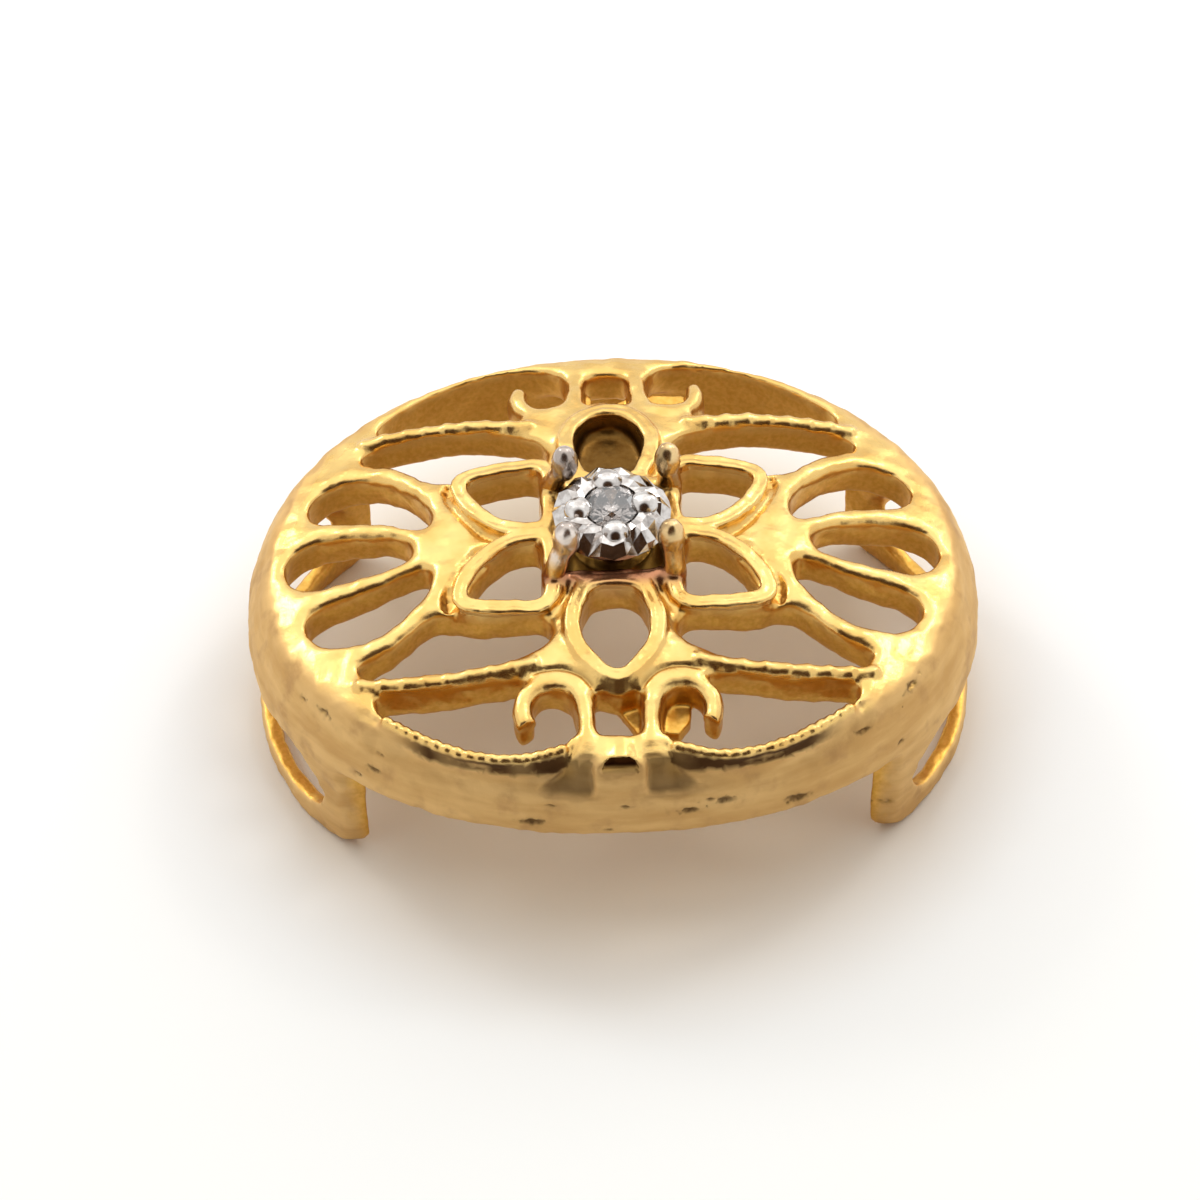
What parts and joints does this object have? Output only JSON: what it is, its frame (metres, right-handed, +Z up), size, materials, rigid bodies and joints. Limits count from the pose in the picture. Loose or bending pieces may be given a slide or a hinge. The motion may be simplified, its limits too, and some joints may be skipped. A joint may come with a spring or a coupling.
{
  "type": "slide pendant",
  "caption": "Oval domed openwork slide pendant with a slotted loop under each end and a small round stone in a fluted plate held by claws.",
  "frame": {"origin": "under the middle of the oval, on the surface that the two end loops stand on", "axes": "+X along the oval's length, +Y across it, +Z up through the dome and the stone"},
  "size_m": [0.018, 0.0144, 0.0074],
  "materials": {
    "yellow_gold": "cast yellow gold, polished on top, satin on the wall",
    "white_gold": "bright cut white gold",
    "diamond": "polished facets"
  },
  "bodies": {
    "root": {"openwork_frame": "yellow_gold", "illusion_plate": "white_gold", "diamond": "diamond"}
  },
  "joints": []
}
